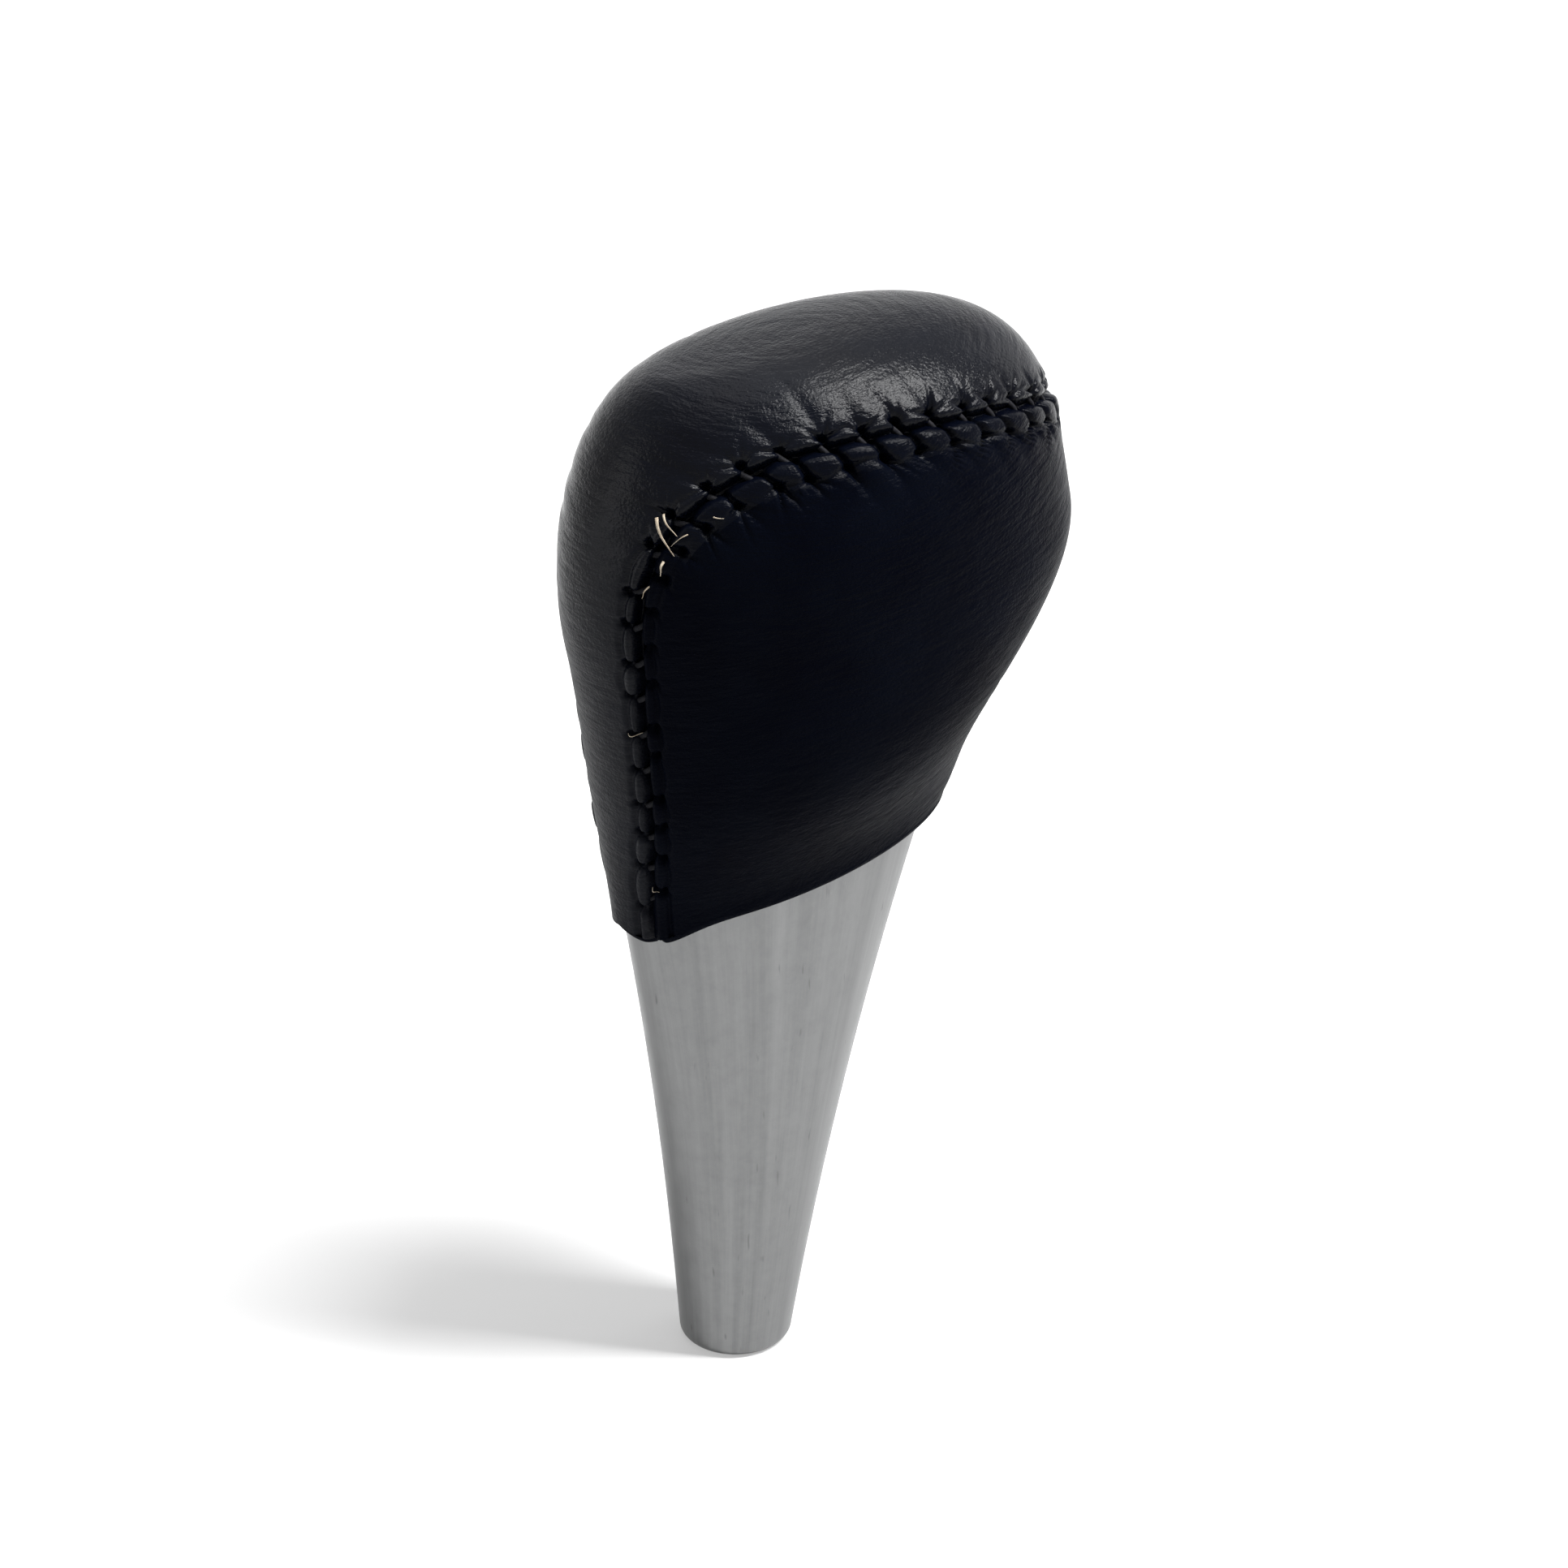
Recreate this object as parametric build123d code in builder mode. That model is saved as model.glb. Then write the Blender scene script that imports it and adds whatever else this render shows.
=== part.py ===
from build123d import *
import os
from math import cos, pi, radians, sin, sqrt

# Gear shift knob with a leather head on an aluminium stem, in millimetres.
# The lever's axis is Z, the origin is the middle of the stem's lower mouth,
# and the head reaches back along +X. The head is measured on its own plane,
# which crosses the lever's axis at the leather's hem and rises towards the back.

# Head plane
neck_height = 60.5
head_tilt = 12.0

# Leather outline at the hem
hem_front = 15.4
hem_rear = 25.8
hem_half_width = 11.0

# Leather outline where the head flares out of the stem
flare_height = 11.3
flare_front = 14.1
flare_rear = 32.5
flare_half_width = 16.6

# Leather outline where the palm rests
belly_height = 22.7
belly_front = 13.1
belly_rear = 43.0
belly_half_width = 20.0

# Leather outline where the crown begins and the body stands upright
shoulder_height = 31.5
shoulder_front = 12.8
shoulder_rear = 47.4
shoulder_half_width = 20.2

# Crown, which closes over a peak behind the lever
crown_height = 58.7
crown_peak = 3.3
crown_front_power = 1.83
crown_rear_power = 3.77
crown_side_power = 3.0

# Leather and its turned hem
leather_thickness = 1.6
glue_line = 0.15
hem_round = 0.9

# Seam between the leather pieces, drawn on the side of the head
seam_hem = 13.4
seam_corner = 6.7
seam_corner_radius = 20.0
seam_crest_back = 7.0
seam_drop = 4.9
seam_top_radius = 89.0
seam_overrun = 4.0
seam_gap = 0.5

# Stitches and the gathers that they pull into the leather
stitch_pitch = 4.2
hem_to_stitch = 3.0
gather_radius = 1.5
gather_rise = 0.55
gather_length = 4.6
gather_taper = 12.0
thread_diameter = 0.7
thread_reach = 1.3

# Stem sleeve
mouth_diameter = 13.0
mouth_round = 1.2
stem_middle_front = 9.4
stem_middle_rear = 12.7
stem_middle_half_width = 9.0
stem_setback = 1.4
lever_bore_diameter = 8.8

# Threaded bush for the lever, an M8 thread at its minor diameter
thread_minor_diameter = 6.65
bush_diameter = 11.0
bush_start = 20.0
bush_length = 26.0
bush_fit = 0.02

# Tenon that keys the core into the stem over the bush
tenon_length = 24.0
tenon_width = 12.5
tenon_back = 4.5
tenon_fit = 0.1
lever_end_room = 8.0

# Bands that the pieces are lofted in, and the arcs or flat sides round their ovals
body_bands = 8
crown_bands = 9
core_body_bands = 3
core_crown_bands = 4
stem_bands = 6
crown_reach = 85.0
roll_turns = (0, 45, 90)
leather_arcs = 8
core_sides = 20
stem_sides = 36

tilt = radians(head_tilt)
head_along = Vector(cos(tilt), 0, sin(tilt))
head_up = Vector(-sin(tilt), 0, cos(tilt))
neck = Vector(0, 0, neck_height)
head_plane = Plane(origin=neck, x_dir=head_along, z_dir=head_up)
side_plane = Plane(origin=neck, x_dir=head_along, z_dir=(0, -1, 0))
beyond = crown_height + shoulder_rear
bush_top = bush_start + bush_length
seam_crest_height = crown_height - seam_drop
seam_end = shoulder_rear + seam_overrun

os.makedirs("parts", exist_ok=True)


def curve_through(stations, at):
    """Value at a place of the polynomial that passes through all the (place, value) stations."""
    total = 0
    for own_place, value in stations:
        for other_place, _ in stations:
            if other_place != own_place:
                value *= (at - other_place) / (own_place - other_place)
        total += value
    return total


def crown_closing(rise, power):
    """Share of the shoulder's reach that is left at a share of the crown's rise."""
    return (1 - rise**power) ** (1 / power)


def rolled_edge(radius):
    """Height and inset at each turn round a rolled edge, ending where its roll is over."""
    return [(radius * (1 - cos(radians(turn))), radius * (1 - sin(radians(turn)))) for turn in roll_turns]


def body_outline(height, inset):
    """Height, front, rear and half width of the head's body, which ends upright, inset all round."""
    heights = (0, flare_height, belly_height, shoulder_height)
    fronts = (hem_front, flare_front, belly_front, shoulder_front)
    rears = (hem_rear, flare_rear, belly_rear, shoulder_rear)
    half_widths = (hem_half_width, flare_half_width, belly_half_width, shoulder_half_width)
    below = [(shoulder_height - station) ** 2 for station in heights]
    here = (shoulder_height - height) ** 2
    reaches = [curve_through(list(zip(below, values)), here) for values in (fronts, rears, half_widths)]
    return (height, *[reach - inset for reach in reaches])


def crown_outline(rise, inset):
    """Height, front, rear and half width at a share of the crown's rise, inset all round."""
    height = shoulder_height + (crown_height - inset - shoulder_height) * rise
    front = (shoulder_front - inset + crown_peak) * crown_closing(rise, crown_front_power) - crown_peak
    rear = (shoulder_rear - inset - crown_peak) * crown_closing(rise, crown_rear_power) + crown_peak
    side = (shoulder_half_width - inset) * crown_closing(rise, crown_side_power)
    return (height, front, rear, side)


def head_outlines(inset, body_count, crown_count, hem_roll):
    """The head's outlines from its hem to its top, with the hem rolled under where a roll is given."""
    outlines = [body_outline(height, inset + roll_inset) for height, roll_inset in rolled_edge(hem_roll)]
    if hem_roll == 0:
        outlines = outlines[-1:]
    for band in range(1, body_count + 1):
        outlines.append(body_outline(shoulder_height * band / body_count, inset))
    for band in range(1, crown_count + 1):
        outlines.append(crown_outline(sin(radians(crown_reach * band / crown_count)), inset))
    return outlines


def oval_points(front, rear, half_width, count):
    """Points round an oval where it faces evenly spread ways, so that bands between ovals don't twist."""
    middle = (rear - front) / 2
    reach = (rear + front) / 2
    points = []
    for point in range(count):
        facing = 2 * pi * point / count
        span = sqrt((reach * cos(facing)) ** 2 + (half_width * sin(facing)) ** 2)
        points.append(Vector(middle + reach**2 * cos(facing) / span, half_width**2 * sin(facing) / span))
    return points


def leather_oval(*reaches):
    """An oval made of arcs, with one arc across each end and each side."""
    points = oval_points(*reaches, 2 * leather_arcs)
    arcs = []
    for arc in range(0, 2 * leather_arcs, 2):
        arcs.append(Edge.make_three_point_arc(points[arc - 1], points[arc], points[arc + 1]))
    return Face(Wire(arcs))


def smooth_oval(*reaches):
    """An oval in one smooth curve."""
    facings = [pi * point / leather_arcs for point in range(2 * leather_arcs + 1)]
    points = oval_points(*reaches, 2 * leather_arcs)
    return Face(Wire(Edge.make_spline(points, periodic=True, parameters=facings)))


def stem_oval(*reaches):
    """An oval with narrow flat sides."""
    return Face(Wire.make_polygon(oval_points(*reaches, stem_sides)))


def head_form(outlines, oval, ruled=True):
    """The solid head, lofted through its outlines on planes that share the head's tilt."""
    with BuildPart() as form:
        for height, *reaches in outlines:
            with BuildSketch(head_plane.offset(height)):
                add(oval(*reaches))
        loft(ruled=ruled)
    return form.part


def core_corners(inset):
    """Corners of a flat-faced block inside the head, on ovals of the shoulder's shape as large as fit."""
    shape = (shoulder_front + shoulder_rear) / 2 / shoulder_half_width
    corners = []
    for height, front, rear, half_width in head_outlines(inset, core_body_bands, core_crown_bands, 0):
        middle = (rear - front) / 2
        side = min(half_width, (rear + front) / 2 / shape)
        plane = head_plane.offset(height)
        for point in oval_points(side * shape - middle, side * shape + middle, side, core_sides):
            corners.append(plane.from_local_coords(point))
    return corners


def seam_top(back):
    """Height of the seam's upper run at a distance behind the lever."""
    return seam_crest_height - seam_top_radius + sqrt(seam_top_radius**2 - (back - seam_crest_back) ** 2)


# Seam line in the side view: up the front, round a corner and back over the rear
seam_corner_point = (-seam_corner, seam_top(-seam_corner))
with BuildLine() as seam_line:
    Line((-seam_hem, 0), seam_corner_point)
    ThreePointArc(
        seam_corner_point,
        (seam_crest_back, seam_crest_height),
        (seam_end, seam_top(seam_end)),
    )
    fillet(seam_line.vertices().sort_by_distance(seam_corner_point)[0], seam_corner_radius)

# Side view of the cap, which takes all that lies in front of the seam and above it
with BuildSketch() as cap_side:
    with BuildLine():
        add(seam_line.line)
        Polyline(
            (seam_end, seam_top(seam_end)),
            (seam_end, beyond),
            (-beyond, beyond),
            (-beyond, -beyond),
            (-seam_hem, -beyond),
            (-seam_hem, 0),
        )
    make_face()

# One side of the leather before it is parted, with a rolled hem and an open underside
leather_outlines = head_outlines(0, body_bands, crown_bands, hem_round)
with BuildPart() as leather_half:
    add(head_form(leather_outlines, leather_oval))
    ConvexPolyhedron(core_corners(leather_thickness), mode=Mode.SUBTRACT)
    split(bisect_by=Plane.XZ, keep=Keep.TOP)

# The smooth side of the head, which the seam is drawn on
with BuildPart() as smooth_half:
    add(head_form(head_outlines(0, body_bands, crown_bands, 0), smooth_oval, ruled=False))
    split(bisect_by=Plane.XZ, keep=Keep.TOP)
leather_side = smooth_half.faces().filter_by(GeomType.BSPLINE)[0]

# The seam line laid on that side of the leather, from the hem to the middle of the rear
seam_drawn = side_plane.from_local_coords(seam_line.wires()[0])
seam = seam_drawn.project_to_shape(leather_side, direction=(0, 1, 0))[0]

# Stitches along it, with the way out of the leather and the way across to the cap;
# the last one is half a pitch from the middle, where the other side's stitches begin
stitch_run = seam.length - hem_to_stitch
stitch_count = round(stitch_run / stitch_pitch + 0.5)
stitches = []
for stitch in range(stitch_count):
    share = (hem_to_stitch + stitch_run * stitch / (stitch_count - 0.5)) / seam.length
    place = seam.position_at(share)
    outward = leather_side.normal_at(place)
    to_cap = outward.cross(seam.tangent_at(share)).normalized()
    stitches.append((place, outward, to_cap))
cap_gathers = [Plane(place + gather_rise * outward, outward, to_cap) for place, outward, to_cap in stitches]
wrap_gathers = [Plane(place + gather_rise * outward, outward, -to_cap) for place, outward, to_cap in stitches]
stitch_planes = [Plane(place, outward, to_cap) for place, outward, to_cap in stitches]

# One gather, a groove that tapers out away from its stitch, and one stitch
with BuildPart() as gather:
    with BuildSketch():
        RegularPolygon(gather_radius, 4)
    extrude(amount=gather_length, taper=gather_taper)
with BuildPart() as stitch_thread:
    with BuildSketch():
        RegularPolygon(thread_diameter / 2, 6)
    extrude(amount=thread_reach, both=True)

# Leather cap: the top of the head and the tongue down its front
with BuildPart() as leather_cap:
    add(leather_half.part)
    with BuildSketch(side_plane):
        add(cap_side.sketch)
        offset(amount=-seam_gap / 2)
    extrude(amount=beyond, both=True, mode=Mode.INTERSECT)
    with Locations(*cap_gathers):
        add(gather.part, mode=Mode.SUBTRACT)
    mirror(about=Plane.XZ)
leather_cap.part.label = "leather_cap"
export_step(leather_cap.part, "parts/leather_cap.step")

# Leather wrap: both sides and the back of the head in one piece
with BuildPart() as leather_wrap:
    add(leather_half.part)
    with BuildSketch(side_plane):
        add(cap_side.sketch)
        offset(amount=seam_gap / 2)
    extrude(amount=beyond, both=True, mode=Mode.SUBTRACT)
    with Locations(*wrap_gathers):
        add(gather.part, mode=Mode.SUBTRACT)
    mirror(about=Plane.XZ)
leather_wrap.part.label = "leather_wrap"
export_step(leather_wrap.part, "parts/leather_wrap.step")

# Seam thread: one stitch across the seam in each pair of gathers
with BuildPart() as seam_thread:
    with Locations(*stitch_planes):
        add(stitch_thread.part)
    mirror(about=Plane.XZ)
seam_thread.part.label = "seam_thread"
export_step(seam_thread.part, "parts/seam_thread.step")

# Head core: the moulded body under the leather, with a tenon down into the stem
with BuildPart() as head_core:
    ConvexPolyhedron(core_corners(leather_thickness + glue_line))
    with BuildSketch(Plane.XY.offset(bush_top + tenon_fit)):
        with Locations((tenon_back, 0)):
            SlotOverall(tenon_length, tenon_width)
    extrude(amount=neck_height - bush_top + tenon_length * sin(tilt))
    with BuildSketch(Plane.XY.offset(bush_top)):
        Circle(lever_bore_diameter / 2)
    extrude(amount=lever_end_room, mode=Mode.SUBTRACT)
head_core.part.label = "head_core"
export_step(head_core.part, "parts/head_core.step")

# Stem sleeve: round at the mouth, long under the leather, hollow for the lever, bush and tenon
mouth = mouth_diameter / 2
top_front = hem_front - stem_setback
top_rear = hem_rear - stem_setback
stem_stations = (
    ((0, mouth), (neck_height / 2, stem_middle_front), (neck_height - top_front * sin(tilt), top_front * cos(tilt))),
    ((0, mouth), (neck_height / 2, stem_middle_rear), (neck_height + top_rear * sin(tilt), top_rear * cos(tilt))),
    ((0, mouth), (neck_height / 2, stem_middle_half_width), (neck_height, hem_half_width - stem_setback)),
)
stem_top = neck_height + hem_rear * sin(tilt)
stem_levels = rolled_edge(mouth_round)
for band in range(1, stem_bands + 1):
    stem_levels.append((stem_top * band / stem_bands, 0))
with BuildPart() as stem_sleeve:
    for height, inset in stem_levels:
        with BuildSketch(Plane.XY.offset(height)):
            add(stem_oval(*[curve_through(stations, height) - inset for stations in stem_stations]))
    loft(ruled=True)
    split(bisect_by=head_plane, keep=Keep.BOTTOM)
    with BuildSketch(Plane.XY):
        Circle(lever_bore_diameter / 2)
    extrude(amount=bush_start, mode=Mode.SUBTRACT)
    with BuildSketch(Plane.XY.offset(bush_start)):
        Circle(bush_diameter / 2 + bush_fit)
    extrude(amount=bush_length, mode=Mode.SUBTRACT)
    with BuildSketch(Plane.XY.offset(bush_top)):
        with Locations((tenon_back, 0)):
            SlotOverall(tenon_length + 2 * tenon_fit, tenon_width + 2 * tenon_fit)
    extrude(amount=beyond, mode=Mode.SUBTRACT)
stem_sleeve.part.label = "stem_sleeve"
export_step(stem_sleeve.part, "parts/stem_sleeve.step")

# Threaded bush, held in the stem between its shoulder and the core's tenon
with BuildPart() as threaded_bush:
    with BuildSketch(Plane.XY.offset(bush_start)):
        Circle(bush_diameter / 2)
        Circle(thread_minor_diameter / 2, mode=Mode.SUBTRACT)
    extrude(amount=bush_length)
threaded_bush.part.label = "threaded_bush"
export_step(threaded_bush.part, "parts/threaded_bush.step")
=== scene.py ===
"""A gear shift knob: a laced leather head on a brushed aluminium stem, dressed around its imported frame.

The knob's own sizes are in millimetres. The finishes and the studio are in metres.
"""

import logging
from dataclasses import dataclass
from enum import Enum

import bmesh
import bpy
import numpy as np
from bpy.types import Material, Node, NodeSocket, NodeTree, Object
from mathutils import Matrix, Vector


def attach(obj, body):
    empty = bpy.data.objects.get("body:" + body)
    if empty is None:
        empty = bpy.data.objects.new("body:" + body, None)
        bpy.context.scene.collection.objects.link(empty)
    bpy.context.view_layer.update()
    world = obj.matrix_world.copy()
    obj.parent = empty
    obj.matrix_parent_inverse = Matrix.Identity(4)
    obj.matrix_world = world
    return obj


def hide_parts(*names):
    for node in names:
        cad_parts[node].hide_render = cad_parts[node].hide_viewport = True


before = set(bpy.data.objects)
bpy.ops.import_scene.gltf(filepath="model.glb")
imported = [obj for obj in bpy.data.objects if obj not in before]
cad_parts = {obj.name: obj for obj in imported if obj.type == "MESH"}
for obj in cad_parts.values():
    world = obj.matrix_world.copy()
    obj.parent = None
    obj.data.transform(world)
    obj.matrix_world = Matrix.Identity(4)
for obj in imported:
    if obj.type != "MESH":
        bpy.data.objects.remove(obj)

logging.basicConfig(level=logging.INFO, format="%(name)s: %(message)s")
log = logging.getLogger("gear_shift_knob")

MM = 0.001
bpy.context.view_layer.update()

Colour = tuple[float, float, float]
Triple = tuple[float, float, float]
Pair = tuple[float, float]
Array = np.ndarray
Inputs = dict[str | int, object]


def bell(distance: Array, width: Array | float) -> Array:
    """Give a bell curve's height at distances from its middle."""
    return np.exp(-((distance / width) ** 2))


def short_of(distance: Array, softness: float) -> Array:
    """Pass softly from 1 short of a line to 0 past it."""
    steepest = 40.0
    return 1.0 / (1.0 + np.exp(np.clip(distance / softness, -steepest, steepest)))


def units(vectors: Array) -> Array:
    """Scale vectors to a length of 1."""
    return vectors / np.linalg.norm(vectors, axis=-1, keepdims=True)


@dataclass(frozen=True)
class HeadForm:
    """The head's outer form, in millimetres on its own axes: along it, across it and up it.

    The heights are the stations from the hem to the shoulder, and each reach is measured from the
    lever's axis at those stations. Above the shoulder the crown closes over its peak. The leather's
    grain runs in rings round the peak, and dies away within the calm angle, in radians.
    """

    neck_height: float = 60.5
    tilt: float = np.radians(12.0)
    heights: tuple[float, ...] = (0.0, 11.3, 22.7, 31.5)
    fronts: tuple[float, ...] = (15.4, 14.1, 13.1, 12.8)
    rears: tuple[float, ...] = (25.8, 32.5, 43.0, 47.4)
    half_widths: tuple[float, ...] = (11.0, 16.6, 20.0, 20.2)
    crown_height: float = 58.7
    crown_peak: float = 3.3
    crown_front_power: float = 1.83
    crown_rear_power: float = 3.77
    crown_side_power: float = 3.0
    highest_rise: float = 0.9999
    heart_height: float = 31.0
    longest_ray: float = 80.0
    halvings: int = 34
    grain_radius: float = 28.0
    grain_round: float = 6.0
    grain_calm: float = 0.42

    def reaches(self, up: Array) -> tuple[Array, Array, Array]:
        """Measure the head's outline.

        Args:
            up: Heights above the hem's plane.

        Returns:
            The front reach, the rear reach and the half width at each height.
        """
        shoulder = self.heights[-1]
        below = (shoulder - np.clip(up, 0.0, shoulder)) ** 2
        stations = (shoulder - np.array(self.heights)) ** 2
        front, rear, half = (
            np.polyval(np.polyfit(stations, values, len(values) - 1), below)
            for values in (self.fronts, self.rears, self.half_widths)
        )
        rise = np.clip((up - shoulder) / (self.crown_height - shoulder), 0.0, self.highest_rise)
        front_closing, rear_closing, side_closing = (
            (1.0 - rise**power) ** (1.0 / power)
            for power in (self.crown_front_power, self.crown_rear_power, self.crown_side_power)
        )
        front = (front + self.crown_peak) * front_closing - self.crown_peak
        rear = (rear - self.crown_peak) * rear_closing + self.crown_peak
        return front, rear, half * side_closing

    def section(self, up: Array) -> tuple[Array, Array, Array]:
        """Give the middle, the half length and the half width of the head's sections at heights."""
        front, rear, half = self.reaches(up)
        return (rear - front) / 2, (rear + front) / 2, half

    def level(self, points: Array) -> Array:
        """Say how far out points lie.

        Args:
            points: Points on the head's axes.

        Returns:
            Values that are under 0 inside the head, 0 on it and over 0 outside.
        """
        middle, reach, half = self.section(points[..., 2])
        value = ((points[..., 0] - middle) / reach) ** 2 + (points[..., 1] / half) ** 2 - 1.0
        return np.where(points[..., 2] >= self.crown_height, 1.0, value)

    def rays(self, points: Array) -> tuple[Array, Array]:
        """Aim at points, level from the middle line below the heart and from the heart itself above.

        Args:
            points: Points on the head's axes, away from that line.

        Returns:
            Where each ray starts and the way that it takes.
        """
        level = np.minimum(points[..., 2], self.heart_height)
        starts = np.stack([self.section(level)[0], np.zeros(level.shape), level], axis=-1)
        return starts, units(points - starts)

    def cast(self, points: Array) -> Array:
        """Move points along their rays onto the head.

        Args:
            points: Points on the head's axes, away from its middle line.

        Returns:
            The points on the head's surface.
        """
        starts, ways = self.rays(points)
        near = np.zeros(points.shape[:-1])
        far = np.full(points.shape[:-1], self.longest_ray)
        for _ in range(self.halvings):
            middle = (near + far) / 2
            outside = self.level(starts + ways * middle[..., None]) > 0.0
            far = np.where(outside, middle, far)
            near = np.where(outside, near, middle)
        return starts + ways * near[..., None]

    def normals(self, points: Array) -> Array:
        """Find which way the head's surface faces.

        Args:
            points: Points on the head's surface.

        Returns:
            Their outward unit normals.
        """
        step = 0.05
        slopes = [self.level(points + step * axis) - self.level(points - step * axis) for axis in np.eye(3)]
        return units(np.stack(slopes, axis=-1))

    def grain(self, points: Array) -> Array:
        """Lay coordinates for the leather's grain.

        Args:
            points: Points on the head's axes.

        Returns:
            Two slow coordinates round the head and one that runs down from the peak, in metres.
        """
        starts, ways = self.rays(points)
        turned = np.hypot(np.arccos(np.clip(ways[..., 2], -1.0, 1.0)), self.grain_calm)
        down = self.grain_radius * turned + self.heart_height - starts[..., 2]
        around = self.grain_round * ways
        return np.stack([around[..., 0], around[..., 1], down], axis=-1) * MM

    def to_row(self, points: Array) -> Array:
        """Turn points from the head's axes to the row's frame.

        Args:
            points: Points on the head's axes, in millimetres.

        Returns:
            The points in the row's frame, in metres.
        """
        along, across, up = points[..., 0], points[..., 1], points[..., 2]
        x = along * np.cos(self.tilt) - up * np.sin(self.tilt)
        z = self.neck_height + along * np.sin(self.tilt) + up * np.cos(self.tilt)
        return np.stack([x, across, z], axis=-1) * MM


def run_lengths(line: Array) -> Array:
    """Give the distance run along a polyline at each of its points."""
    return np.concatenate([[0.0], np.cumsum(np.linalg.norm(np.diff(line, axis=0), axis=1))])


def along_line(line: Array, wanted: Array | float) -> Array:
    """Give the points of a polyline at distances run along it."""
    run = run_lengths(line)
    return np.stack([np.interp(wanted, run, line[:, axis]) for axis in range(3)], axis=-1)


def even_points(line: Array, count: int) -> Array:
    """Spread a number of points evenly along a polyline, with both ends kept."""
    return along_line(line, np.linspace(0.0, run_lengths(line)[-1], count))


def mirrored(points: Array) -> Array:
    """Copy points to the other side of the head."""
    return points * np.array([1.0, -1.0, 1.0])


def lines_between(first: Array, second: Array, shares: Array) -> Array:
    """Lay rows of points at shares of the way from a first row to a second."""
    return first[None] * (1 - shares[:, None, None]) + second[None] * shares[:, None, None]


def nearest_places(points: Array, line: Array) -> tuple[Array, Array]:
    """Find the nearest place on a line, a block of points at a time to spare memory.

    Args:
        points: The points, one to a row.
        line: The line's points.

    Returns:
        The number of the line's nearest point and the gap to it, for each point.
    """
    block_size = 2000
    numbers, gaps = [], []
    for start in range(0, len(points), block_size):
        apart = np.linalg.norm(points[start:start + block_size, None] - line[None], axis=-1)
        numbers.append(apart.argmin(axis=1))
        gaps.append(apart.min(axis=1))
    return np.concatenate(numbers), np.concatenate(gaps)


@dataclass(frozen=True)
class SeamPath:
    """The laced seam on the near side, from the hem over the corner to the middle of the rear."""

    form: HeadForm
    start_height: float = 0.9
    hem_forward: float = 13.4
    corner_forward: float = 7.9
    corner_reach: float = 16.8
    reach_after: float = 0.99
    crest_back: float = 7.0
    crest_height: float = 52.1
    top_radius: float = 89.0
    run_samples: int = 400
    top_samples: int = 1200
    halvings: int = 40

    def top(self, along: float | Array) -> Array:
        """Give the height of the seam's upper run at distances along the head."""
        rise = np.sqrt(self.top_radius**2 - (np.asarray(along) - self.crest_back) ** 2)
        return self.crest_height - self.top_radius + rise

    def rear_end(self) -> float:
        """Find where the upper run meets the middle of the rear.

        Returns:
            The distance along the head.
        """
        near, far = 20.0, 60.0
        for _ in range(self.halvings):
            middle = (near + far) / 2
            point = np.array([middle, 0.0, self.top(middle)])
            near, far = (near, middle) if self.form.level(point) > 0.0 else (middle, far)
        return near

    def points(self, count: int) -> Array:
        """Lay evenly spaced points along the seam.

        Args:
            count: How many points to lay.

        Returns:
            The points, on the head's axes.
        """
        corner = np.array([-self.corner_forward, self.top(-self.corner_forward)])
        hem = np.array([-self.hem_forward, 0.0])
        upward = units(corner - hem)
        first = hem + upward * self.start_height / upward[1]
        before = corner - upward * self.corner_reach
        after_along = corner[0] + self.corner_reach * self.reach_after
        after = np.array([after_along, self.top(after_along)])
        share = np.linspace(0.0, 1.0, self.run_samples)[:, None]
        front_run = first + (before - first) * share
        bend = (1 - share) ** 2 * before + 2 * share * (1 - share) * corner + share**2 * after
        turns = np.linspace(0.0, np.pi / 2, self.top_samples)
        along = after_along + (self.rear_end() - after_along) * np.sin(turns)
        top_run = np.stack([along, self.top(along)], axis=-1)
        side = np.concatenate([front_run[:-1], bend[:-1], top_run])
        middle, reach, half = self.form.section(side[:, 1])
        across = -half * np.sqrt(np.clip(1.0 - ((side[:, 0] - middle) / reach) ** 2, 0.0, None))
        across[-1] = 0.0
        return even_points(np.stack([side[:, 0], across, side[:, 1]], axis=-1), count)


@dataclass(frozen=True)
class Lacing:
    """Where the stitches pierce the leather along one side's seam, in millimetres from the hem."""

    pitch: float = 4.2
    first: float = 3.0
    corner_start: float = 36.0
    corner_end: float = 56.0

    def places(self, length: float) -> Array:
        """Space the stitches evenly, with the last half a pitch short of the seam's end.

        Args:
            length: The seam's length.

        Returns:
            The stitches' distances from the hem.
        """
        run = length - self.first
        count = round(run / self.pitch + 0.5)
        return self.first + run * np.arange(count) / (count - 0.5)

    def tightness(self, run: float | Array) -> Array:
        """Say how strongly the leather is gathered: 0 up the front, 1 past the corner and over the top."""
        share = np.clip((run - self.corner_start) / (self.corner_end - self.corner_start), 0.0, 1.0)
        return share * share * (3.0 - 2.0 * share)


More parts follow.
